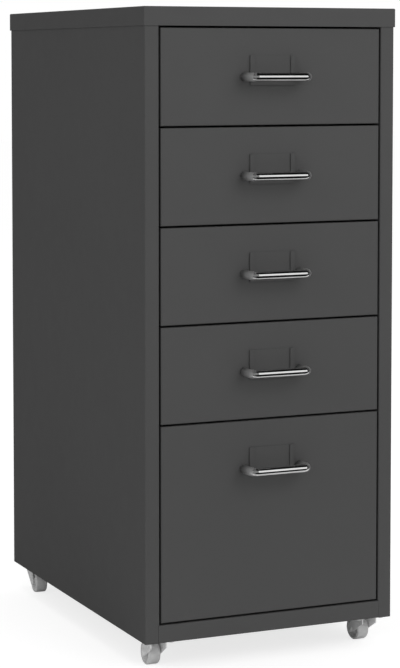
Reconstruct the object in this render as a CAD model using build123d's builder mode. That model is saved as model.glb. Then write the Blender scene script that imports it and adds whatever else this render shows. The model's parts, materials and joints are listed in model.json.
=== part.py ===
from build123d import *
import os

# A rolling cabinet of folded steel sheet: five drawers on ledge runners, bent wire pulls, four small swivel casters.
# Millimetres, +Z up. The drawers face -Y, and the origin is on the floor under the middle of the whole cabinet.

# Case
CASE_WIDTH = 285.0
CASE_DEPTH = 410.0
CASE_SHEET = 0.8
BEND_INSIDE = 0.4
EDGE_ROUND = 1.2
STILE_WIDTH = 15.5
STILE_LIP = 14.0
REAR_RETURN = 15.0
COVER_SKIRT = 19.5
BASE_RAIL = 18.5
RAIL_RETURN = 10.0
BASE_FLANGE = 13.0
SHEET_FIT = 0.2

# Drawer fronts and boxes
SMALL_DRAWERS = 4
SMALL_FRONT = 99.5
TALL_FRONT = 203.0
FRONT_GAP = 2.0
FRONT_SHEET = 0.8
FRONT_RETURN = 14.0
BOX_SHEET = 0.7
BOX_DEPTH = 390.0
BOX_SIDE_FIT = 1.0
BOX_DROP = 4.0
HEM_HEIGHT = 8.0
TRAVEL = 300.0

# Runners, their stops and the keepers over the top drawer
RUNNER_SHEET = 1.0
RUNNER_SETBACK = 1.0
RUNNER_FLANGE = 11.0
LEDGE_GRIP = 12.0
GUIDE_STEP = 6.0
GUIDE_GAP = 0.6
SLIDE_GAP = 0.3
REAR_STOP = 12.0
STOP_GAP = 0.4
LUG_REACH = 7.0
LUG_LENGTH = 10.0
TAB_WIDTH = 5.0
TAB_SIDE_GAP = 1.0
TAB_DROP = 3.2
KEEPER_GAP = 5.0
KEEPER_FLANGE = 14.0

# Wire pulls, whose round wire is kept light with eight flats, and their screws
HANDLE_CENTRES = 64.0
HANDLE_WIRE = 9.0
WIRE_FLATS = 8
HANDLE_REACH = 27.0
HANDLE_BEND = 7.0
HANDLE_DROP = 50.0
TAP_DEPTH = 12.0
PULL_SCREW = 4.0
PULL_SCREW_LENGTH = 10.0
PULL_HEAD = 7.0
PULL_HEAD_HEIGHT = 2.2

# Label holders
HOLDER_WIDTH = 51.5
HOLDER_HEIGHT = 30.5
HOLDER_BELOW_PULL = 8.3
HOLDER_LIP = 5.0
HOLDER_SHEET = 0.4
CARD_SLOT = 0.8

# Screws of the case, and the clearance of any screw in its hole, which has the six flats of a hex head
CASE_SCREW = 3.8
CASE_SCREW_LENGTH = 8.0
CASE_HEAD = 7.0
CASE_HEAD_HEIGHT = 1.6
REAR_ROWS = 3
REAR_ROW_MARGIN = 60.0
BASE_SCREW_SPACING = 160.0
SCREW_FIT = 0.05
HEX = 6

# Casters
CASTER_INSET_X = 20.0
CASTER_INSET_Y = 24.0
CASTER_TRAIL = 12.0
PLATE_SIDE = 36.0
PLATE_THICKNESS = 1.5
PLATE_CORNER = 3.0
PLATE_HOLES = 26.0
CASTER_SCREW = 4.0
CASTER_SCREW_LENGTH = 6.0
CASTER_HEAD = 6.6
CASTER_HEAD_HEIGHT = 1.6
KINGPIN = 5.0
KINGPIN_HEAD = 8.0
KINGPIN_HEAD_HEIGHT = 1.1
FORK_SHEET = 1.4
FORK_LENGTH = 23.0
FORK_SKIRT = 5.6
FORK_OVER_WHEEL = 2.6
FORK_BEND = 1.0
LEG_BOSS = 9.0
BOSS_FLATS = 8
WHEEL_DIAMETER = 25.0
WHEEL_WIDTH = 14.0
WHEEL_RIM = 2.4
WHEEL_EDGE = 1.5
WHEEL_WEB = 5.0
WHEEL_HUB = 9.0
WHEEL_SIDE_GAP = 0.6
AXLE = 4.0
RUN_FIT = 0.05
TURN_GAP = 0.1

# The way each caster is turned as it stands, in degrees from its wheel trailing straight to the back
HEADINGS = {"fl": -2.0, "fr": 4.0, "rl": 175.0, "rr": 187.0}

# Places worked out from the sizes
half_width = CASE_WIDTH / 2
web_x = half_width - CASE_SHEET
fold_round = CASE_SHEET + BEND_INSIDE
nest_x = web_x - SHEET_FIT
rear_proud = SHEET_FIT + CASE_SHEET + CASE_HEAD_HEIGHT
front_y = (HANDLE_REACH - CASE_DEPTH - rear_proud) / 2
back_y = front_y + CASE_DEPTH
panel_y = back_y - CASE_SHEET
axle_z = WHEEL_DIAMETER / 2
fork_z = WHEEL_DIAMETER + FORK_OVER_WHEEL
plate_z = fork_z + FORK_SHEET + TURN_GAP
case_z = plate_z + PLATE_THICKNESS
front_heights = [SMALL_FRONT] * SMALL_DRAWERS + [TALL_FRONT]
case_height = BASE_RAIL + FRONT_GAP + sum(height + FRONT_GAP for height in front_heights) + COVER_SKIRT
case_top = case_z + case_height
skirt_z = case_top - COVER_SKIRT
nest_top = case_top - CASE_SHEET - SHEET_FIT

front_width = CASE_WIDTH - 2 * STILE_WIDTH - 2 * FRONT_GAP
box_lift = FRONT_SHEET + SHEET_FIT
box_half = front_width / 2 - FRONT_SHEET - BOX_SIDE_FIT
box_front = front_y + FRONT_SHEET
box_rear = box_front + BOX_DEPTH
guide_x = box_half + GUIDE_GAP
ledge_x = box_half - LEDGE_GRIP
runner_front = front_y + max(STILE_LIP, FRONT_RETURN) + RUNNER_SETBACK
runner_rear = box_rear + STOP_GAP
lug_y = box_rear - BOX_SHEET - TRAVEL - STOP_GAP

rear_screw_x = half_width - REAR_RETURN / 2
rear_span = skirt_z - case_z - 2 * REAR_ROW_MARGIN
rear_rows = [case_z + REAR_ROW_MARGIN + rear_span * row / (REAR_ROWS - 1) for row in range(REAR_ROWS)]
return_points = [(x, z) for x in (-rear_screw_x, rear_screw_x) for z in rear_rows]
cover_points = [(x, skirt_z + COVER_SKIRT / 2) for x in (-rear_screw_x, rear_screw_x)]
base_points = [(x, case_z + BASE_FLANGE / 2) for x in (-BASE_SCREW_SPACING / 2, BASE_SCREW_SPACING / 2)]

caster_x = half_width - CASTER_INSET_X
caster_places = {
    "fl": (-caster_x, front_y + CASTER_INSET_Y),
    "fr": (caster_x, front_y + CASTER_INSET_Y),
    "rl": (-caster_x, back_y - CASTER_INSET_Y),
    "rr": (caster_x, back_y - CASTER_INSET_Y),
}

os.makedirs("parts", exist_ok=True)


def keep(piece, name):
    """Name a finished piece and write it to its own file."""
    piece.part.label = name
    export_step(piece.part, f"parts/{name}.step")


def folded_section(points, sheet):
    """The closed outline of a sheet folded along points, with its thickness to the right of them."""
    with BuildLine() as section:
        FilletPolyline(*points, radius=sheet + BEND_INSIDE)
        offset(amount=sheet, side=Side.RIGHT)
    return section.edges()


def square_section(points, sheet):
    """The same outline for a sheet with square folds."""
    with BuildLine() as section:
        Polyline(*points)
        offset(amount=sheet, side=Side.RIGHT, kind=Kind.INTERSECTION)
    return section.edges()


def hexes_facing_y(points, seat, diameter):
    """A hexagon at each point of the plane y = seat, for a screw, its head or its hole."""
    with BuildSketch(Plane.XZ.offset(-seat)) as hexes:
        with Locations(*points):
            RegularPolygon(diameter / 2, HEX)
    return hexes.sketch


def drill_rear(points):
    """Drill the case screws' holes along Y through the rear sheets of the open part."""
    holes = hexes_facing_y(points, back_y, CASE_SCREW + 2 * SCREW_FIT)
    extrude(holes, amount=CASE_SCREW_LENGTH, both=True, mode=Mode.SUBTRACT)


def drill_pull(pull_z):
    """Drill the holes of a pull's screws through the front sheets of the open part."""
    holes = hexes_facing_y(pull_points(pull_z), front_y, PULL_SCREW + 2 * SCREW_FIT)
    extrude(holes, amount=-(FRONT_SHEET + 2 * BOX_SHEET), mode=Mode.SUBTRACT)


def pull_points(pull_z):
    """Where a pull's two legs stand, across and up."""
    return [(-HANDLE_CENTRES / 2, pull_z), (HANDLE_CENTRES / 2, pull_z)]


def add_screws(points, seat, diameter, length, head, head_height):
    """Add screws to the open part, with heads behind the plane y = seat and shanks in front of it."""
    extrude(hexes_facing_y(points, seat, head), amount=-head_height)
    extrude(hexes_facing_y(points, seat, diameter), amount=length)


# Side panels: web, rear return, and front stile with a lip that is cut away where the bottom rail meets it

side_fold = [
    (STILE_WIDTH - half_width, front_y + STILE_LIP),
    (STILE_WIDTH - half_width, front_y),
    (-half_width, front_y),
    (-half_width, back_y),
    (REAR_RETURN - half_width, back_y),
]

with BuildPart() as left_side_panel:
    with BuildSketch(Plane.XY.offset(case_z)):
        make_face(folded_section(side_fold, CASE_SHEET))
    extrude(amount=nest_top - case_z)
    with BuildSketch(Plane.XZ.offset(-front_y)):
        with Locations((STILE_WIDTH - half_width - fold_round, case_z)):
            Rectangle(fold_round, BASE_RAIL + SHEET_FIT, align=Align.MIN)
    extrude(amount=-STILE_LIP, mode=Mode.SUBTRACT)
    drill_rear([point for point in return_points + cover_points if point[0] < 0])
keep(left_side_panel, "left_side_panel")

with BuildPart() as right_side_panel:
    mirror(left_side_panel.part, about=Plane.YZ)
keep(right_side_panel, "right_side_panel")

# Back panel, held in front of the rear returns

with BuildPart() as back_panel:
    with BuildSketch(Plane.XZ.offset(-panel_y)):
        with Locations((0, case_z)):
            Rectangle(2 * (nest_x - BEND_INSIDE), nest_top - case_z, align=(Align.CENTER, Align.MIN))
    extrude(amount=CASE_SHEET)
    drill_rear(return_points + cover_points + base_points)
keep(back_panel, "back_panel")

# Top cover, a cap whose skirt goes round the outside of the panels

cover_grow = 2 * (SHEET_FIT + CASE_SHEET)

with BuildPart() as top_cover:
    with BuildSketch(Plane.XY.offset(skirt_z)):
        with Locations((0, (front_y + back_y) / 2)):
            Rectangle(CASE_WIDTH + cover_grow, CASE_DEPTH + cover_grow)
    extrude(amount=COVER_SKIRT)
    fillet(top_cover.faces().sort_by(Axis.Z)[-1].edges(), EDGE_ROUND)
    with BuildSketch(Plane.XY.offset(skirt_z)):
        with Locations((0, (front_y + back_y) / 2)):
            Rectangle(CASE_WIDTH + 2 * SHEET_FIT, CASE_DEPTH + 2 * SHEET_FIT)
    extrude(amount=COVER_SKIRT - CASE_SHEET, mode=Mode.SUBTRACT)
    drill_rear(cover_points)
keep(top_cover, "top_cover")

# Base pan: bottom rail, floor and upturned flanges, drilled for the caster plates

base_rear = panel_y - CASE_SHEET
base_wing_front = front_y + STILE_LIP + SHEET_FIT
rail_fold = [
    (base_rear, case_z + BASE_FLANGE),
    (base_rear, case_z),
    (front_y, case_z),
    (front_y, case_z + BASE_RAIL),
    (front_y + RAIL_RETURN, case_z + BASE_RAIL),
]
wing_fold = [
    (nest_x, case_z + BASE_FLANGE),
    (nest_x, case_z),
    (-nest_x, case_z),
    (-nest_x, case_z + BASE_FLANGE),
]

with BuildPart() as base_pan:
    with BuildSketch(Plane.YZ):
        make_face(folded_section(rail_fold, CASE_SHEET))
    extrude(amount=half_width - STILE_WIDTH + fold_round - SHEET_FIT, both=True)
    with BuildSketch(Plane.XZ.offset(-base_wing_front)):
        make_face(folded_section(wing_fold, CASE_SHEET))
    extrude(amount=base_wing_front - base_rear)
    with BuildSketch(Plane.XY.offset(case_z)):
        with Locations(*caster_places.values()):
            with GridLocations(PLATE_HOLES, PLATE_HOLES, 2, 2):
                RegularPolygon(CASTER_SCREW / 2 + SCREW_FIT, HEX)
    extrude(amount=CASE_SHEET, mode=Mode.SUBTRACT)
    drill_rear(base_points)
keep(base_pan, "base_pan")

# Screws at the back: through the rear returns, the cover's skirt and the base pan's rear flange

screw_seats = [
    (return_points, back_y),
    (cover_points, back_y + SHEET_FIT + CASE_SHEET),
    (base_points, panel_y),
]

with BuildPart() as case_screws:
    for points, seat in screw_seats:
        add_screws(points, seat, CASE_SCREW, CASE_SCREW_LENGTH, CASE_HEAD, CASE_HEAD_HEIGHT)
keep(case_screws, "case_screws")

# Runners, keepers and drawers


def keep_pair(right_piece, left_name, right_name):
    """Write a piece made for the right side, and its mirror image for the left."""
    keep(right_piece, right_name)
    with BuildPart() as left_piece:
        mirror(right_piece.part, about=Plane.YZ)
    keep(left_piece, left_name)


def right_runner(ledge_top):
    """A ledge under a drawer box, with a step that guides its side, a rear stop and a lug that ends its travel."""
    under = ledge_top - RUNNER_SHEET
    fold = [
        (web_x, ledge_top + GUIDE_STEP + RUNNER_FLANGE),
        (web_x, under + GUIDE_STEP),
        (guide_x + RUNNER_SHEET, under + GUIDE_STEP),
        (guide_x + RUNNER_SHEET, under),
        (ledge_x, under),
    ]
    with BuildPart() as runner:
        with BuildSketch(Plane.XZ.offset(-runner_front)):
            make_face(square_section(fold, RUNNER_SHEET))
        extrude(amount=runner_front - runner_rear)
        with BuildSketch(Plane.XZ.offset(-runner_rear)):
            with Locations((ledge_x, under)):
                Rectangle(LEDGE_GRIP, REAR_STOP, align=Align.MIN)
        extrude(amount=-RUNNER_SHEET)
        with BuildSketch(Plane.XY.offset(under)):
            with Locations((ledge_x + RUNNER_SHEET, lug_y)):
                Rectangle(LUG_REACH + RUNNER_SHEET, LUG_LENGTH, align=Align.MAX)
        extrude(amount=RUNNER_SHEET)
    return runner


def right_keeper(box_top):
    """An angle strip over the rim of the top drawer, which keeps it from tipping."""
    under = box_top + KEEPER_GAP
    fold = [
        (ledge_x, under + RUNNER_SHEET),
        (web_x, under + RUNNER_SHEET),
        (web_x, under - KEEPER_FLANGE),
    ]
    with BuildPart() as keeper:
        with BuildSketch(Plane.XZ.offset(-runner_front)):
            make_face(square_section(fold, RUNNER_SHEET))
        extrude(amount=runner_front - runner_rear)
    return keeper


def drawer_front(bottom, height):
    """A pan with its folds towards the back, drilled for the pull."""
    with BuildPart() as front:
        with BuildSketch(Plane.XZ.offset(-front_y)):
            with Locations((0, bottom)):
                Rectangle(front_width, height, align=(Align.CENTER, Align.MIN))
        extrude(amount=-FRONT_RETURN)
        fillet(front.faces().sort_by(Axis.Y)[0].edges(), EDGE_ROUND)
        with BuildSketch(Plane.XZ.offset(-box_front)):
            with Locations((0, bottom + FRONT_SHEET)):
                inside = (front_width - 2 * FRONT_SHEET, height - 2 * FRONT_SHEET)
                Rectangle(*inside, align=(Align.CENTER, Align.MIN))
        extrude(amount=FRONT_SHEET - FRONT_RETURN, mode=Mode.SUBTRACT)
        drill_pull(bottom + height - HANDLE_DROP)
    return front


def drawer_box(bottom, top):
    """A folded tray with hemmed rims, and two tabs under its rear wall that meet the runners' lugs."""
    inside_width = 2 * (box_half - BOX_SHEET)
    inside_depth = BOX_DEPTH - 2 * BOX_SHEET
    with BuildPart() as box:
        with BuildSketch(Plane.XY.offset(bottom)):
            with Locations((0, box_front)):
                Rectangle(2 * box_half, BOX_DEPTH, align=(Align.CENTER, Align.MIN))
        extrude(amount=top - bottom)
        offset(amount=-BOX_SHEET, openings=box.faces().sort_by(Axis.Z)[-1])
        with BuildSketch(Plane.XY.offset(top)):
            with Locations((0, box_front + BOX_DEPTH / 2)):
                Rectangle(inside_width, inside_depth)
                Rectangle(inside_width - 2 * BOX_SHEET, inside_depth - 2 * BOX_SHEET, mode=Mode.SUBTRACT)
        extrude(amount=-HEM_HEIGHT)
        with BuildSketch(Plane.XZ.offset(-box_rear)):
            with Locations((0, bottom)):
                with GridLocations(2 * (ledge_x - TAB_SIDE_GAP) - TAB_WIDTH, 1, 2, 1):
                    Rectangle(TAB_WIDTH, 2 * TAB_DROP)
        extrude(amount=BOX_SHEET)
        drill_pull(top + BOX_DROP - HANDLE_DROP)
    return box


def wire_pull(pull_z):
    """A bent wire with a tapped hole up each leg."""
    bar_y = front_y - HANDLE_REACH + HANDLE_WIRE / 2
    bend_x = HANDLE_CENTRES / 2 - HANDLE_BEND
    bend_y = bar_y + HANDLE_BEND
    with BuildPart() as pull:
        with BuildSketch(Plane.YZ):
            with Locations((bar_y, pull_z)):
                RegularPolygon(HANDLE_WIRE / 2, WIRE_FLATS)
        extrude(amount=bend_x)
        bar_end = pull.faces().sort_by(Axis.X)[-1]
        revolve(bar_end, axis=Axis((bend_x, bend_y, pull_z), (0, 0, 1)), revolution_arc=90)
        extrude(pull.faces().sort_by(Axis.Y)[-1], amount=front_y - bend_y)
        mirror(about=Plane.YZ)
        taps = hexes_facing_y(pull_points(pull_z), front_y, PULL_SCREW + 2 * SCREW_FIT)
        extrude(taps, amount=TAP_DEPTH, mode=Mode.SUBTRACT)
    return pull


def pull_screws(pull_z):
    """The two screws of a pull, driven from inside the drawer."""
    seat = front_y + FRONT_SHEET + BOX_SHEET
    with BuildPart() as screws:
        add_screws(pull_points(pull_z), seat, PULL_SCREW, PULL_SCREW_LENGTH, PULL_HEAD, PULL_HEAD_HEIGHT)
    return screws


def label_holder(bottom):
    """A plate with lips folded over its sides and foot, open at the top for a card."""
    lip_width = HOLDER_WIDTH - 2 * HOLDER_LIP
    slot_width = HOLDER_WIDTH - 2 * HOLDER_SHEET
    with BuildPart() as holder:
        with BuildSketch(Plane.XZ.offset(-front_y)):
            with Locations((0, bottom)):
                Rectangle(HOLDER_WIDTH, HOLDER_HEIGHT, align=(Align.CENTER, Align.MIN))
        extrude(amount=2 * HOLDER_SHEET + CARD_SLOT)
        with BuildSketch(Plane.XZ.offset(HOLDER_SHEET - front_y)):
            with Locations((0, bottom + HOLDER_SHEET)):
                Rectangle(slot_width, HOLDER_HEIGHT, align=(Align.CENTER, Align.MIN))
        extrude(amount=CARD_SLOT, mode=Mode.SUBTRACT)
        with BuildSketch(Plane.XZ.offset(HOLDER_SHEET + CARD_SLOT - front_y)):
            with Locations((0, bottom + HOLDER_LIP)):
                Rectangle(lip_width, HOLDER_HEIGHT, align=(Align.CENTER, Align.MIN))
        extrude(amount=HOLDER_SHEET, mode=Mode.SUBTRACT)
    return holder


# The drawers from the top down, each with its runners

front_top = skirt_z - FRONT_GAP
for number, front_height in enumerate(front_heights, start=1):
    drawer = f"drawer_{number}"
    front_bottom = front_top - front_height
    box_bottom = front_bottom + box_lift
    box_top = front_top - BOX_DROP
    pull_z = front_top - HANDLE_DROP
    keep(drawer_front(front_bottom, front_height), f"{drawer}_front")
    keep(drawer_box(box_bottom, box_top), f"{drawer}_box")
    keep(wire_pull(pull_z), f"{drawer}_handle")
    keep(pull_screws(pull_z), f"{drawer}_handle_screws")
    keep(label_holder(pull_z - HOLDER_BELOW_PULL), f"{drawer}_label_holder")
    keep_pair(right_runner(box_bottom - SLIDE_GAP), f"{drawer}_left_runner", f"{drawer}_right_runner")
    if number == 1:
        keep_pair(right_keeper(box_top), "top_keeper_left", "top_keeper_right")
    front_top = front_bottom - FRONT_GAP

# Caster pieces that stay with the case

with BuildPart() as caster_plates:
    with BuildSketch(Plane.XY.offset(plate_z)) as plates:
        with Locations(*caster_places.values()):
            Rectangle(PLATE_SIDE, PLATE_SIDE)
        chamfer(plates.vertices(), PLATE_CORNER)
        with Locations(*caster_places.values()):
            with GridLocations(PLATE_HOLES, PLATE_HOLES, 2, 2):
                RegularPolygon(CASTER_SCREW / 2 + SCREW_FIT, HEX, mode=Mode.SUBTRACT)
    extrude(amount=PLATE_THICKNESS)
keep(caster_plates, "caster_plates")

with BuildPart() as caster_screws:
    with BuildSketch(Plane.XY.offset(plate_z)):
        with Locations(*caster_places.values()):
            with GridLocations(PLATE_HOLES, PLATE_HOLES, 2, 2):
                RegularPolygon(CASTER_HEAD / 2, HEX)
    extrude(amount=-CASTER_HEAD_HEIGHT)
    with BuildSketch(Plane.XY.offset(plate_z)):
        with Locations(*caster_places.values()):
            with GridLocations(PLATE_HOLES, PLATE_HOLES, 2, 2):
                RegularPolygon(CASTER_SCREW / 2, HEX)
    extrude(amount=CASTER_SCREW_LENGTH)
keep(caster_screws, "caster_screws")

pin_seat = fork_z - TURN_GAP

with BuildPart() as caster_kingpins:
    with BuildSketch(Plane.XY.offset(pin_seat)):
        with Locations(*caster_places.values()):
            RegularPolygon(KINGPIN_HEAD / 2, HEX)
    extrude(amount=-KINGPIN_HEAD_HEIGHT)
    with BuildSketch(Plane.XY.offset(pin_seat)):
        with Locations(*caster_places.values()):
            Circle(KINGPIN / 2)
    extrude(amount=plate_z - pin_seat)
keep(caster_kingpins, "caster_kingpins")

# One caster's moving pieces about its kingpin, with the wheel trailing to the back

leg_x = WHEEL_WIDTH / 2 + WHEEL_SIDE_GAP
axle_half = leg_x + FORK_SHEET
axle_line = Axis((0, CASTER_TRAIL, axle_z), (1, 0, 0))
axle_plane = Plane(origin=(0, CASTER_TRAIL, axle_z), x_dir=(1, 0, 0), z_dir=(0, -1, 0))

with BuildPart() as fork:
    with BuildSketch(Plane.XY.offset(fork_z)):
        Rectangle(2 * axle_half, FORK_LENGTH)
    extrude(amount=FORK_SHEET)
    with BuildSketch(Plane.YZ.offset(leg_x)):
        with Locations((CASTER_TRAIL, axle_z)):
            RegularPolygon(LEG_BOSS / 2, BOSS_FLATS, major_radius=False)
        with Locations((0, fork_z - FORK_SKIRT)):
            Rectangle(FORK_LENGTH, FORK_SKIRT + FORK_SHEET, align=(Align.CENTER, Align.MIN))
        make_hull()
    extrude(amount=FORK_SHEET)
    mirror(about=Plane.YZ)
    fillet(fork.edges().filter_by(Axis.Y).group_by(Axis.Z)[-1], FORK_BEND)
    with BuildSketch(Plane.XY.offset(fork_z)):
        Circle(KINGPIN / 2 + RUN_FIT)
    extrude(amount=FORK_SHEET, mode=Mode.SUBTRACT)
    with BuildSketch(Plane.YZ):
        with Locations((CASTER_TRAIL, axle_z)):
            RegularPolygon(AXLE / 2 + RUN_FIT, BOSS_FLATS, major_radius=False)
    extrude(amount=axle_half, both=True, mode=Mode.SUBTRACT)

with BuildPart() as axle:
    with BuildSketch(axle_plane):
        Rectangle(2 * axle_half, AXLE / 2, align=(Align.CENTER, Align.MIN))
    revolve(axis=axle_line)

recess_width = (WHEEL_WIDTH - WHEEL_WEB) / 2
recess_height = axle_z - WHEEL_RIM - WHEEL_HUB / 2
recess_x = (WHEEL_WEB + recess_width) / 2

with BuildPart() as wheel:
    with BuildSketch(axle_plane) as half_wheel:
        Rectangle(WHEEL_WIDTH, axle_z, align=(Align.CENTER, Align.MIN))
        chamfer(half_wheel.vertices().group_by(Axis.Y)[-1], WHEEL_EDGE)
        Rectangle(WHEEL_WIDTH, AXLE / 2 + RUN_FIT, align=(Align.CENTER, Align.MIN), mode=Mode.SUBTRACT)
        with Locations((-recess_x, WHEEL_HUB / 2), (recess_x, WHEEL_HUB / 2)):
            Rectangle(recess_width, recess_height, align=(Align.CENTER, Align.MIN), mode=Mode.SUBTRACT)
    revolve(axis=axle_line)

for corner, (x, y) in caster_places.items():
    stand = Location((x, y, 0), (0, 0, HEADINGS[corner]))
    for piece, name in ((fork, "fork"), (axle, "axle"), (wheel, "wheel")):
        with BuildPart() as placed:
            with Locations(stand):
                add(piece.part)
        keep(placed, f"caster_{corner}_{name}")
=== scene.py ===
"""Looks of a rolling five-drawer cabinet of folded steel sheet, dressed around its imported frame."""

import json
import logging
import math
from dataclasses import dataclass, field
from enum import Enum
from typing import Any

import bmesh
import bpy
from mathutils import Matrix, Vector

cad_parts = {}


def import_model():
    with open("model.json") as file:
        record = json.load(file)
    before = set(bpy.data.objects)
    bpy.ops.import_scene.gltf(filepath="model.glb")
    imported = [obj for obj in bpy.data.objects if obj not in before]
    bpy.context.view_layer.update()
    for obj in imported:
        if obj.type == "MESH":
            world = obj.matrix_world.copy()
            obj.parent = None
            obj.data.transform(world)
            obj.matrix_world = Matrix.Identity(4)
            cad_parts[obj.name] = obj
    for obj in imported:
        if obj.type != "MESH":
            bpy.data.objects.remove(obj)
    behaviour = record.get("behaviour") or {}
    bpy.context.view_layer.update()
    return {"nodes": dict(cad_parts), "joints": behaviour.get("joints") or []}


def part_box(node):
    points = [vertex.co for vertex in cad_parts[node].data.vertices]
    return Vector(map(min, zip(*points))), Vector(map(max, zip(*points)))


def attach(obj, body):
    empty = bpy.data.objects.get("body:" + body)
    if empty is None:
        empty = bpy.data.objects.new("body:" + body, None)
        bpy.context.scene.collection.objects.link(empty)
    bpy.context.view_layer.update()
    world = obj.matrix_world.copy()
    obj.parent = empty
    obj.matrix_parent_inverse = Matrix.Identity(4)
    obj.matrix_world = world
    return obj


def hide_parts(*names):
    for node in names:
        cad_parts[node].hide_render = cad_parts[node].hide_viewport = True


MM = 0.001
DRAWERS = range(1, 6)
# Most of a pattern's values lie between these two.
PATTERN_LOW = 0.3
PATTERN_HIGH = 0.7
# Edges that turn by more than this are rounded, in this many bands.
SHARP_DEGREES = 40.0
EDGE_BANDS = 2

Loop = list[bmesh.types.BMVert]
Pair = tuple[float, float]
Triple = tuple[float, float, float]

log = logging.getLogger("cabinet")


class Corner(Enum):
    """The four casters, by the corner of the base that each one carries."""

    FRONT_LEFT = "fl"
    FRONT_RIGHT = "fr"
    REAR_LEFT = "rl"
    REAR_RIGHT = "rr"


class DriveWay(Enum):
    """The way that a screw's shank points from its head."""

    FORWARD = (0.0, -1.0, 0.0)
    UP = (0.0, 0.0, 1.0)


class Layers(Enum):
    """How many finer layers of noise lie over the first."""

    FEW = 2.0
    SOME = 3.0
    MANY = 4.0
    MOST = 5.0


class FlagGrey(Enum):
    """The colours of the studio's flags."""

    DARK = 0.01
    DULL = 0.1
    MID = 0.3
    PALE = 0.9


def plain_grey(value: float) -> tuple[float, float, float, float]:
    """Turn a grey into an opaque colour."""
    return (value, value, value, 1.0)


class Graph:
    """A material's node tree, with short calls that add nodes and join them."""

    def __init__(self, name: str) -> None:
        """Start a node material.

        Args:
            name: The material's name.
        """
        self.material = bpy.data.materials.new(name)
        self.material.use_nodes = True
        self.tree = self.material.node_tree
        self.shader = self.tree.nodes["Principled BSDF"]
        self.place = self.tree.nodes.new("ShaderNodeTexCoord").outputs["Object"]

    def add(self, kind: str, values: dict[str, Any]) -> bpy.types.Node:
        """Add a node.

        Args:
            kind: Blender's name for the node.
            values: What each named input socket starts with.

        Returns:
            The new node.
        """
        node = self.tree.nodes.new(kind)
        for socket, value in values.items():
            node.inputs[socket].default_value = value
        return node

    def join(self, source: bpy.types.NodeSocket, target: bpy.types.NodeSocket) -> None:
        """Link one socket to another."""
        self.tree.links.new(source, target)

    def settle(self, values: dict[str, Any]) -> None:
        """Set the shader's own sockets where a value is the same all over."""
        for socket, value in values.items():
            self.shader.inputs[socket].default_value = value

    def noise(
        self,
        per_metre: float,
        layers: Layers,
        stretch: Triple = (1.0, 1.0, 1.0),
    ) -> bpy.types.NodeSocket:
        """Add a cloud of noise in the object's own place.

        Args:
            per_metre: How many features there are in a metre.
            layers: How many finer layers lie over the first.
            stretch: How much denser the noise is along each axis.

        Returns:
            The socket with the noise, from 0 to 1.
        """
        mapping = self.add("ShaderNodeMapping", {"Scale": stretch})
        self.join(self.place, mapping.inputs["Vector"])
        cloud = self.add("ShaderNodeTexNoise", {"Scale": per_metre, "Detail": layers.value})
        self.join(mapping.outputs["Vector"], cloud.inputs["Vector"])
        return cloud.outputs["Fac"]

    def spangle(self, per_metre: float) -> bpy.types.NodeSocket:
        """Add a patchwork of cells, as on plated steel.

        Args:
            per_metre: How many cells there are in a metre.

        Returns:
            The socket with each cell's own value.
        """
        cells = self.add("ShaderNodeTexVoronoi", {"Scale": per_metre})
        self.join(self.place, cells.inputs["Vector"])
        return cells.outputs["Color"]

    def spread(self, source: bpy.types.NodeSocket, low: float, high: float, name: str) -> None:
        """Let a socket of the shader vary with a pattern.

        Args:
            source: The pattern's socket.
            low: The value where the pattern is low.
            high: The value where the pattern is high.
            name: The shader's socket.
        """
        values = {"From Min": PATTERN_LOW, "From Max": PATTERN_HIGH, "To Min": low, "To Max": high}
        ranged = self.add("ShaderNodeMapRange", values)
        self.join(source, ranged.inputs["Value"])
        self.join(ranged.outputs["Result"], self.shader.inputs[name])

    def relief(self, source: bpy.types.NodeSocket, depth: float, strength: float) -> None:
        """Raise the surface's grain with a pattern.

        Args:
            source: The pattern's socket.
            depth: The height of the grain in metres.
            strength: How much of it shows.
        """
        bump = self.add("ShaderNodeBump", {"Strength": strength, "Distance": depth})
        self.join(source, bump.inputs["Height"])
        self.join(bump.outputs["Normal"], self.shader.inputs["Normal"])


@dataclass(frozen=True)
class PowderCoat:
    """Baked powder paint: satin, with a faint orange peel and slow drifts of tone."""

    name: str
    grey: float
    roughness: float = 0.52
    gloss: float = 0.3
    drift: float = 0.015
    drifts_per_metre: float = 6.0
    sheen_spread: float = 0.03
    sheens_per_metre: float = 38.0
    peels_per_metre: float = 620.0
    peel_depth: float = 0.05 * MM
    peel_strength: float = 0.3

    def material(self) -> bpy.types.Material:
        """Make the paint's material.

        Returns:
            The new material.
        """
        graph = Graph(self.name)
        slow = graph.noise(self.drifts_per_metre, Layers.MANY)
        graph.spread(slow, self.grey * (1 - self.drift), self.grey * (1 + self.drift), "Base Color")
        sheen = graph.noise(self.sheens_per_metre, Layers.SOME)
        low, high = self.roughness - self.sheen_spread, self.roughness + self.sheen_spread
        graph.spread(sheen, low, high, "Roughness")
        peel = graph.noise(self.peels_per_metre, Layers.FEW)
        graph.relief(peel, self.peel_depth, self.peel_strength)
        graph.settle({"Specular IOR Level": self.gloss})
        return graph.material


@dataclass(frozen=True)
class BrightChrome:
    """Polished chrome plate on drawn wire, with hairlines along the wire."""

    name: str
    grey: float = 0.74
    roughness: float = 0.06
    metallic: float = 1.0
    hairs_per_metre: float = 900.0
    hair_stretch: Triple = (0.02, 1.0, 1.0)
    smoother: float = 0.02
    rougher: float = 0.04
    clouds_per_metre: float = 60.0
    cloud_spread: float = 0.03

    def material(self) -> bpy.types.Material:
        """Make the plating's material.

        Returns:
            The new material.
        """
        graph = Graph(self.name)
        hairs = graph.noise(self.hairs_per_metre, Layers.FEW, self.hair_stretch)
        graph.spread(hairs, self.roughness - self.smoother, self.roughness + self.rougher, "Roughness")
        clouds = graph.noise(self.clouds_per_metre, Layers.FEW)
        graph.spread(clouds, self.grey - self.cloud_spread, self.grey + self.cloud_spread, "Base Color")
        graph.settle({"Metallic": self.metallic})
        return graph.material


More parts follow.
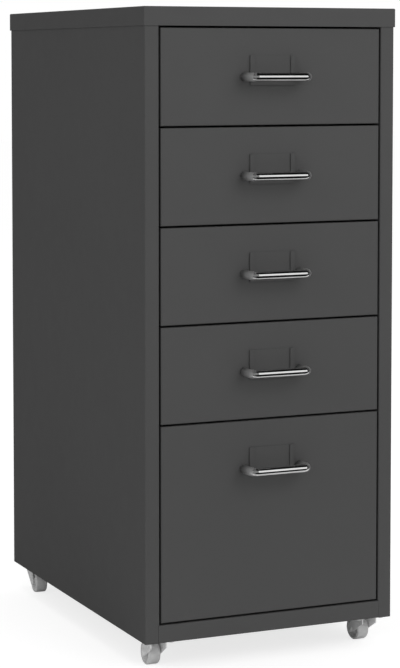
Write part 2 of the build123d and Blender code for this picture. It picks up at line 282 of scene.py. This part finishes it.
@dataclass(frozen=True)
class ZincPlate:
    """Bright zinc on stamped steel, with soft patches and a fine rolled grain."""

    name: str
    grey: float = 0.9
    roughness: float = 0.4
    metallic: float = 0.3
    spangles_per_metre: float = 260.0
    darker: float = 0.05
    lighter: float = 0.04
    patches_per_metre: float = 300.0
    smoother: float = 0.06
    rougher: float = 0.1
    grains_per_metre: float = 1500.0
    grain_stretch: Triple = (1.0, 0.15, 1.0)
    grain_depth: float = 0.02 * MM
    grain_strength: float = 0.3

    def material(self) -> bpy.types.Material:
        """Make the plating's material.

        Returns:
            The new material.
        """
        graph = Graph(self.name)
        spangles = graph.spangle(self.spangles_per_metre)
        graph.spread(spangles, self.grey - self.darker, self.grey + self.lighter, "Base Color")
        patches = graph.noise(self.patches_per_metre, Layers.SOME)
        graph.spread(patches, self.roughness - self.smoother, self.roughness + self.rougher, "Roughness")
        grain = graph.noise(self.grains_per_metre, Layers.FEW, self.grain_stretch)
        graph.relief(grain, self.grain_depth, self.grain_strength)
        graph.settle({"Metallic": self.metallic})
        return graph.material


@dataclass(frozen=True)
class WheelPlastic:
    """Moulded grey plastic with a dull skin and light scuffs."""

    name: str
    grey: float = 0.62
    roughness: float = 0.5
    gloss: float = 0.4
    mottles_per_metre: float = 170.0
    darkest: float = 0.9
    lightest: float = 1.08
    scuffs_per_metre: float = 420.0
    smoother: float = 0.08
    rougher: float = 0.12
    grains_per_metre: float = 2400.0
    grain_depth: float = 0.03 * MM
    grain_strength: float = 0.4

    def material(self) -> bpy.types.Material:
        """Make the plastic's material.

        Returns:
            The new material.
        """
        graph = Graph(self.name)
        mottles = graph.noise(self.mottles_per_metre, Layers.MOST)
        graph.spread(mottles, self.grey * self.darkest, self.grey * self.lightest, "Base Color")
        scuffs = graph.noise(self.scuffs_per_metre, Layers.SOME)
        graph.spread(scuffs, self.roughness - self.smoother, self.roughness + self.rougher, "Roughness")
        grain = graph.noise(self.grains_per_metre, Layers.FEW)
        graph.relief(grain, self.grain_depth, self.grain_strength)
        graph.settle({"Specular IOR Level": self.gloss})
        return graph.material


@dataclass
class Finishes:
    """Every finish on the cabinet, each made once."""

    case: bpy.types.Material = field(init=False)
    inner: bpy.types.Material = field(init=False)
    chrome: bpy.types.Material = field(init=False)
    semi: bpy.types.Material = field(init=False)
    satin: bpy.types.Material = field(init=False)
    zinc: bpy.types.Material = field(init=False)
    wheel: bpy.types.Material = field(init=False)

    def __post_init__(self) -> None:
        """Make the materials."""
        self.case = PowderCoat("case_paint", grey=0.074).material()
        self.inner = PowderCoat("inner_paint", grey=0.068, roughness=0.56, gloss=0.25).material()
        self.chrome = BrightChrome("bright_chrome").material()
        self.semi = BrightChrome("semi_bright_chrome", grey=0.62, roughness=0.2, metallic=0.85).material()
        self.satin = BrightChrome("satin_chrome", grey=0.47, roughness=0.34, metallic=0.66).material()
        self.zinc = ZincPlate("zinc_plate").material()
        self.wheel = WheelPlastic("wheel_plastic").material()


class Form:
    """A mesh in the making, in metres, in a frame of its own."""

    def __init__(self) -> None:
        """Start with nothing."""
        self.mesh = bmesh.new()

    def ring(self, points: list[Vector]) -> Loop:
        """Add a loop of points that isn't faced yet."""
        return [self.mesh.verts.new(point) for point in points]

    def skin(self, first: Loop, second: Loop, closed: bool = True) -> None:
        """Face the band between two loops with as many points each.

        Args:
            first: One loop.
            second: The next loop.
            closed: Whether the band goes all the way round.
        """
        count = len(first)
        for i in range(count if closed else count - 1):
            k = (i + 1) % count
            self.mesh.faces.new((first[i], first[k], second[k], second[i]))

    def cap(self, loop: Loop) -> None:
        """Close a loop with one face."""
        self.mesh.faces.new(loop)

    def turned(self, profile: list[Pair], sides: int) -> None:
        """Turn a profile about the local Z axis.

        Args:
            profile: Radius and height of each point, with radius 0 only at the ends.
            sides: How many sides the turned form has.
        """
        loops: list[Loop] = []
        for radius, height in profile:
            if radius == 0.0:
                loops.append([self.mesh.verts.new((0.0, 0.0, height))])
                continue
            turns = [2 * math.pi * i / sides for i in range(sides)]
            points = [Vector((radius * math.cos(t), radius * math.sin(t), height)) for t in turns]
            loops.append(self.ring(points))
        for one, two in zip(loops, loops[1:]):
            if len(one) == 1 or len(two) == 1:
                tip, rim = (one, two) if len(one) == 1 else (two, one)
                for i in range(sides):
                    self.mesh.faces.new((tip[0], rim[i], rim[(i + 1) % sides]))
            else:
                self.skin(one, two)

    def object(
        self,
        name: str,
        material: bpy.types.Material,
        place: Matrix = Matrix.Identity(4),
    ) -> bpy.types.Object:
        """Finish the form as an object in the scene.

        Args:
            name: The piece's name.
            material: Its finish.
            place: Where the form's own frame stands in the row frame.

        Returns:
            The new object, with its place in its mesh.
        """
        bmesh.ops.transform(self.mesh, matrix=place, verts=self.mesh.verts)
        bmesh.ops.recalc_face_normals(self.mesh, faces=self.mesh.faces)
        data = bpy.data.meshes.new(name)
        self.mesh.to_mesh(data)
        self.mesh.free()
        data.materials.append(material)
        data.shade_smooth()
        obj = bpy.data.objects.new(name, data)
        bpy.context.scene.collection.objects.link(obj)
        return obj


def weigh_normals(obj: bpy.types.Object) -> None:
    """Shade an object's flats as flat."""
    normals = obj.modifiers.new("normals", "WEIGHTED_NORMAL")
    normals.keep_sharp = True


def soften(obj: bpy.types.Object, width: float) -> None:
    """Round an object's sharp edges a little, and shade its flats as flat.

    Args:
        obj: The object.
        width: The width of the rounding, in metres.
    """
    bevel = obj.modifiers.new("edges", "BEVEL")
    bevel.width = width
    bevel.segments = EDGE_BANDS
    bevel.limit_method = "ANGLE"
    bevel.angle_limit = math.radians(SHARP_DEGREES)
    weigh_normals(obj)


def settle_piece(obj: bpy.types.Object, body: str, slot: str, *replaced: str) -> None:
    """Tie a new piece to its body, and hide the nodes that it stands for.

    Args:
        obj: The piece.
        body: The body that it moves with.
        slot: The record's material slot, which is not used.
        replaced: The nodes that it stands for.
    """
    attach(obj, body)
    if replaced:
        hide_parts(*replaced)
    log.info("built %s on %s", obj.name, body)


@dataclass
class Dresser:
    """Gives nodes of the frame their finish and softens their edges."""

    nodes: dict[str, bpy.types.Object]
    weld: float = 0.002 * MM

    def dress(self, name: str, material: bpy.types.Material, edge: float) -> None:
        """Dress one node.

        Args:
            name: The node.
            material: Its finish.
            edge: How wide its edges are rounded, in metres.
        """
        obj = self.nodes[name]
        obj.material_slots[0].material = material
        stored = obj.data.attributes.get("custom_normal")
        if stored is not None:
            obj.data.attributes.remove(stored)
        obj.data.shade_smooth()
        weld = obj.modifiers.new("weld", "WELD")
        weld.merge_threshold = self.weld
        soften(obj, edge)
        log.info("dressed %s", name)

    def solids(self, name: str) -> list[tuple[Vector, Vector]]:
        """Find the boxes of a node's separate solids.

        Args:
            name: The node.

        Returns:
            The lowest and highest corner of each solid.
        """
        form = bmesh.new()
        form.from_mesh(self.nodes[name].data)
        bmesh.ops.remove_doubles(form, verts=form.verts, dist=self.weld)
        unseen = set(form.verts)
        boxes: list[tuple[Vector, Vector]] = []
        for start in list(form.verts):
            if start not in unseen:
                continue
            unseen.discard(start)
            reach = [start]
            found = [start]
            while reach:
                vertex = reach.pop()
                for edge in vertex.link_edges:
                    other = edge.other_vert(vertex)
                    if other in unseen:
                        unseen.discard(other)
                        reach.append(other)
                        found.append(other)
            axes = [[vertex.co[i] for vertex in found] for i in range(3)]
            boxes.append((Vector([min(a) for a in axes]), Vector([max(a) for a in axes])))
        form.free()
        return boxes


@dataclass
class ScrewSet:
    """The screws of one node: pan heads with a cross recess, and threaded shanks."""

    node: str
    piece: str
    body: str
    way: DriveWay
    head_height: float
    shank: float
    pitch: float = 0.9 * MM
    sides: int = 20
    edge: float = 0.1 * MM
    # Shares of the head's radius and height, from the crown's rim to the seat.
    head: tuple[Pair, ...] = ((0.62, 0.0), (0.8, 0.08), (0.94, 0.28), (1.0, 0.6), (1.0, 1.0))
    # Shares of the shank's radius.
    thread_root: float = 0.82
    tip: float = 0.6
    # Shares of the head's radius, of the recess's own outline and of the head's height.
    recess_arm: float = 0.46
    recess_half: float = 0.13
    recess_taper: float = 0.7
    recess_depth: float = 0.6

    def build(self, dresser: Dresser, material: bpy.types.Material) -> None:
        """Build every screw of the node as one piece.

        Args:
            dresser: Knows where the node's solids are.
            material: The screws' finish.
        """
        form = Form()
        way = Vector(self.way.value)
        for low, high in dresser.solids(self.node):
            middle = (low + high) / 2
            half = (high - low) / 2
            along = abs(half.dot(way))
            radius = max(half[i] for i in range(3) if way[i] == 0.0)
            turn = way.to_track_quat("Z", "Y").to_matrix().to_4x4()
            place = Matrix.Translation(middle - way * along) @ turn
            self.add_screw(form, place, radius, 2 * along)
        obj = form.object(self.piece, material)
        soften(obj, self.edge)
        settle_piece(obj, self.body, "zinc_steel", self.node)

    def add_screw(self, form: Form, place: Matrix, radius: float, length: float) -> None:
        """Add one screw whose head's crown is at the local origin and whose tip is along local Z.

        Args:
            form: Takes the screw's faces.
            place: Where the screw stands.
            radius: The head's radius.
            length: The whole length, head included.
        """
        seat = self.head_height
        ridge = self.shank / 2
        root = self.thread_root * ridge
        body: list[Pair] = [(across * radius, down * seat) for across, down in self.head]
        body.append((ridge, seat))
        turns = int((length - seat) / self.pitch) - 1
        for i in range(turns):
            height = seat + (i + 0.5) * self.pitch
            body.append((root, height))
            body.append((ridge, height + self.pitch / 2))
        body.append((self.tip * ridge, length))
        screw = Form()
        screw.turned(body, self.sides)
        screw.mesh.verts.ensure_lookup_table()
        rim = screw.mesh.verts[: self.sides]
        tip = screw.mesh.verts[-self.sides :]
        screw.cap(tip)
        self.cut_recess(screw, rim, radius, seat)
        bmesh.ops.transform(screw.mesh, matrix=place, verts=screw.mesh.verts)
        data = bpy.data.meshes.new("screw")
        screw.mesh.to_mesh(data)
        screw.mesh.free()
        form.mesh.from_mesh(data)
        bpy.data.meshes.remove(data)

    def cut_recess(self, screw: Form, rim: Loop, radius: float, seat: float) -> None:
        """Close the head's crown with a cross recess in it.

        Args:
            screw: The screw's form.
            rim: The loop round the crown.
            radius: The head's radius.
            seat: The head's height.
        """
        arm = self.recess_arm * radius
        wide = self.recess_half * radius
        outline = [
            (arm, -wide), (arm, wide), (wide, wide), (wide, arm), (-wide, arm), (-wide, wide),
            (-arm, wide), (-arm, -wide), (-wide, -wide), (-wide, -arm), (wide, -arm), (wide, -wide),
        ]
        taper, depth = self.recess_taper, self.recess_depth * seat
        mouth = screw.ring([Vector((x, y, 0.0)) for x, y in outline])
        floor = screw.ring([Vector((taper * x, taper * y, depth)) for x, y in outline])
        screw.skin(mouth, floor)
        screw.cap(floor)
        edges = []
        for loop in (rim, mouth):
            edges += [screw.mesh.edges.get((loop[i], loop[i - 1])) for i in range(len(loop))]
        bmesh.ops.triangle_fill(screw.mesh, edges=edges, use_beauty=True)


@dataclass
class Case:
    """The folded shell, its runners and the fixed pieces of the casters."""

    dresser: Dresser
    finishes: Finishes
    sheet_edge: float = 0.18 * MM
    plate_edge: float = 0.35 * MM
    screw_head: float = 1.6 * MM
    rear_shank: float = 3.8 * MM
    plate_shank: float = 4.0 * MM
    shell: tuple[str, ...] = ("left_side_panel", "right_side_panel", "back_panel", "top_cover", "base_pan")

    def build(self) -> None:
        """Dress the shell and runners, and build the screws."""
        for name in self.shell:
            self.dresser.dress(name, self.finishes.case, self.sheet_edge)
        for number in DRAWERS:
            for side in ("left", "right"):
                self.dresser.dress(f"drawer_{number}_{side}_runner", self.finishes.inner, self.sheet_edge)
        for side in ("left", "right"):
            self.dresser.dress(f"top_keeper_{side}", self.finishes.inner, self.sheet_edge)
        for name in ("caster_plates", "caster_kingpins"):
            self.dresser.dress(name, self.finishes.zinc, self.plate_edge)
        forward, up = DriveWay.FORWARD, DriveWay.UP
        rear = ScrewSet("case_screws", "rear_screws", "case", forward, self.screw_head, self.rear_shank)
        rear.build(self.dresser, self.finishes.zinc)
        under = ScrewSet("caster_screws", "plate_screws", "case", up, self.screw_head, self.plate_shank)
        under.build(self.dresser, self.finishes.zinc)


@dataclass
class Drawer:
    """One drawer: folded front and box, wire pull, label holder and the pull's screws."""

    number: int
    dresser: Dresser
    finishes: Finishes
    wire: float = 9.0 * MM
    bend: float = 7.0 * MM
    bend_steps: int = 14
    satin_steps: int = 7
    semi_steps: int = 10
    wire_sides: int = 40
    sheet_edge: float = 0.18 * MM
    holder_edge: float = 0.08 * MM
    screw_head: float = 2.2 * MM
    screw_shank: float = 4.0 * MM
    screw_pitch: float = 0.7 * MM

    @property
    def body(self) -> str:
        """The drawer's body."""
        return f"drawer_{self.number}"

    def build(self) -> None:
        """Dress the sheet pieces, and build the pull and its screws."""
        self.dresser.dress(f"{self.body}_front", self.finishes.case, self.sheet_edge)
        self.dresser.dress(f"{self.body}_box", self.finishes.inner, self.sheet_edge)
        self.dresser.dress(f"{self.body}_label_holder", self.finishes.case, self.holder_edge)
        self.build_pull()
        screws = ScrewSet(
            f"{self.body}_handle_screws",
            f"{self.body}_pull_screws",
            self.body,
            DriveWay.FORWARD,
            self.screw_head,
            self.screw_shank,
            self.screw_pitch,
        )
        screws.build(self.dresser, self.finishes.zinc)

    def route(self) -> list[tuple[Vector, Vector]]:
        """Work out the line of the wire.

        Returns:
            Points of the line, each with the way across the wire to its right, seen from above.
        """
        low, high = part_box(f"{self.body}_handle")
        radius = self.wire / 2
        left, right = low.x + radius, high.x - radius
        bar, foot, height = low.y + radius, high.y, (low.z + high.z) / 2
        line = [(Vector((left, foot, height)), Vector((-1.0, 0.0, 0.0)))]
        quarter = math.pi / 2
        for centre_x, start in ((left + self.bend, math.pi), (right - self.bend, 1.5 * math.pi)):
            centre = Vector((centre_x, bar + self.bend, height))
            for step in range(self.bend_steps + 1):
                angle = start + quarter * step / self.bend_steps
                out = Vector((math.cos(angle), math.sin(angle), 0.0))
                line.append((centre + out * self.bend, out))
        line.append((Vector((right, foot, height)), Vector((1.0, 0.0, 0.0))))
        return line

    def build_pull(self) -> None:
        """Build the pull as a round wire along its line."""
        form = Form()
        loops = []
        up = Vector((0.0, 0.0, 1.0))
        turns = [2 * math.pi * i / self.wire_sides for i in range(self.wire_sides)]
        for point, out in self.route():
            loop = [point + (out * math.cos(t) + up * math.sin(t)) * (self.wire / 2) for t in turns]
            loops.append(form.ring(loop))
        for one, two in zip(loops, loops[1:]):
            form.skin(one, two)
        form.cap(loops[0])
        form.cap(loops[-1])
        pull = form.object(f"{self.body}_pull", self.finishes.chrome)
        pull.data.materials.append(self.finishes.semi)
        pull.data.materials.append(self.finishes.satin)
        last = len(loops) - 2
        for face in pull.data.polygons:
            segment = face.index // self.wire_sides
            step = min(segment, last - segment)
            face.material_index = int(step <= self.semi_steps) + int(step <= self.satin_steps)
        weigh_normals(pull)
        settle_piece(pull, self.body, "chrome", f"{self.body}_handle")


# One row of a folded strip: its place across and up, the way out of the sheet, and its two ends along Y.
Row = tuple[Pair, Pair, Pair]


@dataclass
class Caster:
    """One swivel caster: stamped fork, riveted axle and moulded wheel."""

    corner: Corner
    joints: dict[str, dict[str, Any]]
    finishes: Finishes
    sheet: float = 1.4 * MM
    half_span: float = 9.0 * MM
    fold: float = 2.0 * MM
    web_top: float = 29.0 * MM
    web_half: float = 11.5 * MM
    skirt: float = 22.0 * MM
    boss: float = 4.5 * MM
    axle: float = 2.0 * MM
    rivet: float = 3.3 * MM
    rivet_rise: float = 1.0 * MM
    wheel_half: float = 7.0 * MM
    wheel_radius: float = 12.5 * MM
    bore: float = 2.05 * MM
    fork_edge: float = 0.25 * MM
    columns: int = 8
    tip_steps: int = 8
    leg_steps: int = 6
    fold_steps: int = 6
    web_steps: int = 6
    first_turn: float = math.radians(8.0)
    # Shares of the rivet head's radius and rise.
    dome: tuple[Pair, ...] = ((0.45, 0.95), (0.75, 0.72), (0.94, 0.4), (1.0, 0.0))
    axle_sides: int = 28
    # Radius and depth in millimetres, from the hub's face down to the web and up to the rim.
    recess: tuple[Pair, ...] = (
        (4.1, 0.0), (4.4, 0.2), (4.6, 4.1), (5.0, 4.4), (9.0, 4.4), (9.5, 4.1), (10.1, 0.5), (10.3, 0.3),
    )
    shoulder: float = 2.2 * MM
    shoulder_steps: int = 6
    wheel_sides: int = 72
    weld: float = 0.001 * MM

    def build(self) -> None:
        """Build the fork, the axle and the wheel."""
        name = f"caster_{self.corner.value}"
        swivel = self.joints[f"{name}_swivel"]
        spin = self.joints[f"wheel_{self.corner.value}_spin"]
        across = Vector(spin["axis"]).normalized()
        up = Vector((0.0, 0.0, 1.0))
        ahead = up.cross(across)
        pin = Vector(swivel["pos_m"])
        hub = Vector(spin["pos_m"])
        turn = Matrix((across, ahead, up)).transposed().to_4x4()
        stand = Matrix.Translation((pin.x, pin.y, 0.0)) @ turn
        local_hub = stand.inverted() @ hub
        fork = self.fork_form(local_hub).object(f"{name}_stamped_fork", self.finishes.zinc, stand)
        soften(fork, self.fork_edge)
        settle_piece(fork, name, "zinc_steel", f"{name}_fork")
        sideways = Matrix.Rotation(math.pi / 2, 4, "Y")
        on_axle = stand @ Matrix.Translation(local_hub) @ sideways
        axle = self.axle_form().object(f"{name}_riveted_axle", self.finishes.zinc, on_axle)
        settle_piece(axle, name, "zinc_steel", f"{name}_axle")
        wheel = self.wheel_form().object(f"{name}_moulded_wheel", self.finishes.wheel, on_axle)
        settle_piece(wheel, f"wheel_{self.corner.value}", "wheel_plastic", f"{name}_wheel")

    def fork_form(self, hub: Vector) -> Form:
        """Build the fork as one folded strip, over the wheel and down both sides of it.

        Args:
            hub: The axle's middle in the caster's own frame.

        Returns:
            The form.
        """
        form = Form()
        outer, inner = [], []
        for (x, z), (nx, nz), (front, rear) in self.fork_rows(hub):
            spread = [front + (rear - front) * i / self.columns for i in range(self.columns + 1)]
            outer.append(form.ring([Vector((x, y, z)) for y in spread]))
            inner.append(form.ring([Vector((x - nx * self.sheet, y, z - nz * self.sheet)) for y in spread]))
        for side in (outer, inner):
            for one, two in zip(side, side[1:]):
                form.skin(one, two, closed=False)
        for edge in (0, self.columns):
            form.skin([loop[edge] for loop in outer], [loop[edge] for loop in inner], closed=False)
        for end in (0, -1):
            form.skin(outer[end], inner[end], closed=False)
        return form

    def leg_ends(self, hub: Vector, height: float) -> Pair:
        """Find where a leg's sheet starts and ends at a height, from skirt to boss.

        Args:
            hub: The axle's middle in the caster's own frame.
            height: The height.

        Returns:
            The two ends along Y.
        """
        if height >= self.skirt:
            return (-self.web_half, self.web_half)
        ends = []
        for side in (-1.0, 1.0):
            reach = Vector((side * self.web_half - hub.y, self.skirt - hub.z))
            angle = math.atan2(reach.y, reach.x) - side * math.acos(self.boss / reach.length)
            touch = Vector((math.cos(angle), math.sin(angle))) * self.boss
            rise = height - hub.z
            if rise >= touch.y:
                share = (rise - touch.y) / (reach.y - touch.y)
                ends.append(hub.y + touch.x + (reach.x - touch.x) * share)
            else:
                ends.append(hub.y + side * math.sqrt(max(self.boss**2 - rise**2, 0.0)))
        return (ends[0], ends[1])

    def fork_rows(self, hub: Vector) -> list[Row]:
        """Lay out the strip from the foot of one leg to the foot of the other.

        Args:
            hub: The axle's middle in the caster's own frame.

        Returns:
            The rows in order.
        """
        rows: list[Row] = []
        neck = self.web_top - self.fold
        heights = []
        for i in range(self.tip_steps):
            turn = self.first_turn + (math.pi / 2 - self.first_turn) * i / self.tip_steps
            heights.append(hub.z - self.boss * math.cos(turn))
        heights += [hub.z + (self.skirt - hub.z) * i / self.leg_steps for i in range(self.leg_steps + 1)]
        for height in heights + [neck]:
            rows.append(((-self.half_span, height), (-1.0, 0.0), self.leg_ends(hub, height)))
        whole = (-self.web_half, self.web_half)
        for i in range(1, self.fold_steps + 1):
            angle = math.pi / 2 * i / self.fold_steps
            out = (-math.cos(angle), math.sin(angle))
            x = self.fold - self.half_span + self.fold * out[0]
            rows.append(((x, neck + self.fold * out[1]), out, whole))
        mirrored = [((-x, z), (-nx, nz), ends) for (x, z), (nx, nz), ends in reversed(rows)]
        flat = self.half_span - self.fold
        places = [2 * flat * i / self.web_steps - flat for i in range(1, self.web_steps)]
        middle = [((x, self.web_top), (0.0, 1.0), whole) for x in places]
        return rows + middle + mirrored

    def axle_form(self) -> Form:
        """Build the axle with a domed rivet head at each end.

        Returns:
            The form, along local Z.
        """
        form = Form()
        end = self.half_span
        top = end + self.rivet_rise
        upper = [(self.rivet * r, end + self.rivet_rise * h) for r, h in self.dome]
        half = [(0.0, top)] + upper + [(self.axle, end)]
        lower = [(radius, -height) for radius, height in reversed(half)]
        form.turned(half + lower, self.axle_sides)
        return form

    def wheel_form(self) -> Form:
        """Build the wheel: crowned tread with round shoulders, a recessed web and a hub.

        Returns:
            The form, along local Z.
        """
        form = Form()
        face = self.wheel_half
        side = [(self.bore, face)]
        side += [(radius * MM, face - depth * MM) for radius, depth in self.recess]
        for i in range(1, self.shoulder_steps + 1):
            angle = math.pi / 2 * i / self.shoulder_steps
            radius = self.wheel_radius - self.shoulder + self.shoulder * math.sin(angle)
            side.append((radius, face - self.shoulder + self.shoulder * math.cos(angle)))
        other = [(radius, -height) for radius, height in reversed(side)]
        profile = side + other
        form.turned(profile + [profile[0]], self.wheel_sides)
        bmesh.ops.remove_doubles(form.mesh, verts=form.mesh.verts, dist=self.weld)
        return form


@dataclass(frozen=True)
class Lamp:
    """One soft light with straight sides, which neither the camera nor gloss can see."""

    name: str
    place: Triple
    target: Triple
    size: Pair
    watts: float

    def hang(self) -> None:
        """Hang the light and point it."""
        data = bpy.data.lights.new(self.name, "AREA")
        data.shape = "RECTANGLE"
        data.size, data.size_y = self.size
        data.energy = self.watts
        lamp = bpy.data.objects.new(self.name, data)
        lamp.location = self.place
        lamp.rotation_euler = (Vector(self.target) - lamp.location).to_track_quat("-Z", "Y").to_euler()
        lamp.visible_camera = False
        lamp.visible_glossy = False
        bpy.context.scene.collection.objects.link(lamp)


@dataclass(frozen=True)
class Flag:
    """One flat flag, given by three of its corners in order, which only gloss can see."""

    name: str
    grey: FlagGrey
    first: Triple
    second: Triple
    third: Triple

    def hang(self) -> None:
        """Hang the flag."""
        form = Form()
        first, second, third = Vector(self.first), Vector(self.second), Vector(self.third)
        form.cap(form.ring([first, second, third, first + third - second]))
        material = bpy.data.materials.new(self.name)
        material.use_nodes = True
        shader = material.node_tree.nodes["Principled BSDF"]
        shader.inputs["Base Color"].default_value = plain_grey(self.grey.value)
        shader.inputs["Roughness"].default_value = 1.0
        shader.inputs["Specular IOR Level"].default_value = 0.0
        flag = form.object(self.name, material)
        flag.visible_camera = False
        flag.visible_diffuse = False
        flag.visible_shadow = False


@dataclass
class Studio:
    """A plain white studio: floor, soft lights, flags that only gloss can see, and the camera."""

    fill: float = 0.58
    middle: Triple = (0.0, 0.0, 0.35)
    floor_half: float = 14.0
    floor_grey: float = 0.4
    floor_roughness: float = 0.9
    floor_glow: float = 0.76
    bounce_grey: float = 0.85
    lens: float = 116.925
    sensor: float = 36.0
    shift_y: float = -0.2
    camera_place: Triple = (-0.9793, -2.2103, 0.62595)
    yaw: float = 23.985
    pitch: float = 3.664

    def build(self) -> None:
        """Set up the whole studio."""
        scene = bpy.context.scene
        scene.view_settings.view_transform = "Standard"
        self.light_world(scene)
        self.lay_floor()
        self.hang_lamps()
        self.hang_flags()
        self.set_camera(scene)

    def white_rays(self, tree: bpy.types.NodeTree) -> bpy.types.NodeSocket:
        """Find the rays that see the plain white ground: those of the camera, of gloss and of glass.

        Args:
            tree: Takes the nodes.

        Returns:
            A socket that is 1 for those rays and 0 for others.
        """
        path = tree.nodes.new("ShaderNodeLightPath")
        found = path.outputs["Is Camera Ray"]
        for kind in ("Is Glossy Ray", "Is Transmission Ray"):
            either = tree.nodes.new("ShaderNodeMath")
            either.operation = "MAXIMUM"
            tree.links.new(found, either.inputs[0])
            tree.links.new(path.outputs[kind], either.inputs[1])
            found = either.outputs[0]
        return found

    def light_world(self, scene: bpy.types.Scene) -> None:
        """Fill the room with soft light, and show it as white.

        Args:
            scene: The scene.
        """
        world = bpy.data.worlds.new("studio_room")
        scene.world = world
        world.use_nodes = True
        tree = world.node_tree
        room = tree.nodes["Background"]
        room.inputs["Color"].default_value = plain_grey(1.0)
        room.inputs["Strength"].default_value = self.fill
        ground = tree.nodes.new("ShaderNodeBackground")
        ground.inputs["Color"].default_value = plain_grey(1.0)
        ground.inputs["Strength"].default_value = 1.0
        mix = tree.nodes.new("ShaderNodeMixShader")
        tree.links.new(self.white_rays(tree), mix.inputs["Fac"])
        tree.links.new(room.outputs[0], mix.inputs[1])
        tree.links.new(ground.outputs[0], mix.inputs[2])
        tree.links.new(mix.outputs[0], tree.nodes["World Output"].inputs["Surface"])

    def lay_floor(self) -> None:
        """Lay a pale floor that keeps the shadow and reads as white away from it."""
        form = Form()
        half = self.floor_half
        corners = ((-half, -half), (half, -half), (half, half), (-half, half))
        form.cap(form.ring([Vector((x, y, 0.0)) for x, y in corners]))
        material = bpy.data.materials.new("pale_floor")
        material.use_nodes = True
        tree = material.node_tree
        shader = tree.nodes["Principled BSDF"]
        shader.inputs["Base Color"].default_value = plain_grey(self.floor_grey)
        shader.inputs["Roughness"].default_value = self.floor_roughness
        shader.inputs["Specular IOR Level"].default_value = 0.0
        glow = tree.nodes.new("ShaderNodeEmission")
        glow.inputs["Strength"].default_value = self.floor_glow
        add = tree.nodes.new("ShaderNodeAddShader")
        tree.links.new(shader.outputs[0], add.inputs[0])
        tree.links.new(glow.outputs[0], add.inputs[1])
        bounce = tree.nodes.new("ShaderNodeBsdfDiffuse")
        bounce.inputs["Color"].default_value = plain_grey(self.bounce_grey)
        mix = tree.nodes.new("ShaderNodeMixShader")
        tree.links.new(self.white_rays(tree), mix.inputs["Fac"])
        tree.links.new(bounce.outputs[0], mix.inputs[1])
        tree.links.new(add.outputs[0], mix.inputs[2])
        tree.links.new(mix.outputs[0], tree.nodes["Material Output"].inputs["Surface"])
        form.object("studio_floor", material)

    def hang_lamps(self) -> None:
        """Hang the soft lights: two in front, one on the left and one above."""
        lamps = (
            Lamp("softbox", place=(1.03, -2.13, 1.78), target=(0.0, -0.2, 1.2), size=(2.0, 2.0), watts=11.0),
            Lamp("key_light", place=(0.55, -2.5, 2.1), target=self.middle, size=(3.2, 1.1), watts=11.5),
            Lamp("left_light", place=(-2.8, -0.9, 1.4), target=self.middle, size=(1.8, 1.8), watts=16.0),
            Lamp("top_light", place=(0.0, 0.3, 2.8), target=self.middle, size=(1.6, 1.6), watts=14.0),
        )
        for lamp in lamps:
            lamp.hang()

    def hang_flags(self) -> None:
        """Hang flags round the cabinet, which darken the white room where its gloss shows it."""
        self.hang_level_flags()
        self.hang_upright_flags()

    def hang_level_flags(self) -> None:
        """Hang the flags that lie just over the floor, and the one overhead."""
        reach, near, far = 6.0, -0.4, -4.6
        low, under, high = 0.002, 0.001, 2.6
        strip_left, strip_right, strip_rear = -0.6, 1.2, -0.15
        top_half, top_front, top_rear = 3.0, -2.9, 3.5
        dark, dull, pale = FlagGrey.DARK, FlagGrey.DULL, FlagGrey.PALE
        flags = (
            Flag("front_flag", dark, (-reach, near, low), (reach, near, low), (reach, far, low)),
            Flag(
                "near_flag",
                pale,
                (strip_left, near, low),
                (strip_right, near, low),
                (strip_right, strip_rear, low),
            ),
            Flag("floor_flag", dull, (-reach, near, under), (reach, near, under), (reach, reach, under)),
            Flag(
                "top_flag",
                dark,
                (-top_half, top_front, high),
                (top_half, top_front, high),
                (top_half, top_rear, high),
            ),
        )
        for flag in flags:
            flag.hang()

    def hang_upright_flags(self) -> None:
        """Hang the flags that stand round the cabinet, with a gap in front on the right."""
        high, left, right = 2.6, -2.6, 2.6
        front, rear = -2.6, 3.5
        gap_left, gap_rear = 0.1, -1.6
        dark, dull, mid = FlagGrey.DARK, FlagGrey.DULL, FlagGrey.MID
        flags = (
            Flag("left_flag", dull, (left, 0.0, 0.0), (left, rear, 0.0), (left, rear, high)),
            Flag("front_left_flag", mid, (left, front, 0.0), (left, 0.0, 0.0), (left, 0.0, high)),
            Flag("rear_flag", dull, (left, rear, 0.0), (right, rear, 0.0), (right, rear, high)),
            Flag("camera_flag", mid, (left, front, 0.0), (gap_left, front, 0.0), (gap_left, front, high)),
            Flag("right_flag", dark, (right, gap_rear, 0.0), (right, rear, 0.0), (right, rear, high)),
        )
        for flag in flags:
            flag.hang()

    def set_camera(self, scene: bpy.types.Scene) -> None:
        """Stand the camera where the photograph was taken.

        Args:
            scene: The scene.
        """
        data = bpy.data.cameras.new("camera")
        data.lens = self.lens
        data.sensor_width = self.sensor
        data.shift_y = self.shift_y
        camera = bpy.data.objects.new("camera", data)
        camera.location = self.camera_place
        yaw, pitch = math.radians(self.yaw), math.radians(self.pitch)
        ahead = Vector((math.sin(yaw) * math.cos(pitch), math.cos(yaw) * math.cos(pitch), -math.sin(pitch)))
        camera.rotation_euler = ahead.to_track_quat("-Z", "Y").to_euler()
        scene.collection.objects.link(camera)
        scene.camera = camera


def main() -> None:
    """Load the frame, dress it, build the detailed pieces and set up the studio."""
    logging.basicConfig(level=logging.INFO, format="%(name)s: %(message)s")
    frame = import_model()
    joints = {joint["name"]: joint for joint in frame["joints"]}
    finishes = Finishes()
    dresser = Dresser(frame["nodes"])
    Studio().build()
    Case(dresser, finishes).build()
    for number in DRAWERS:
        Drawer(number, dresser, finishes).build()
    for corner in Corner:
        Caster(corner, joints, finishes).build()
    bpy.context.view_layer.update()


if __name__ == "__main__":
    main()
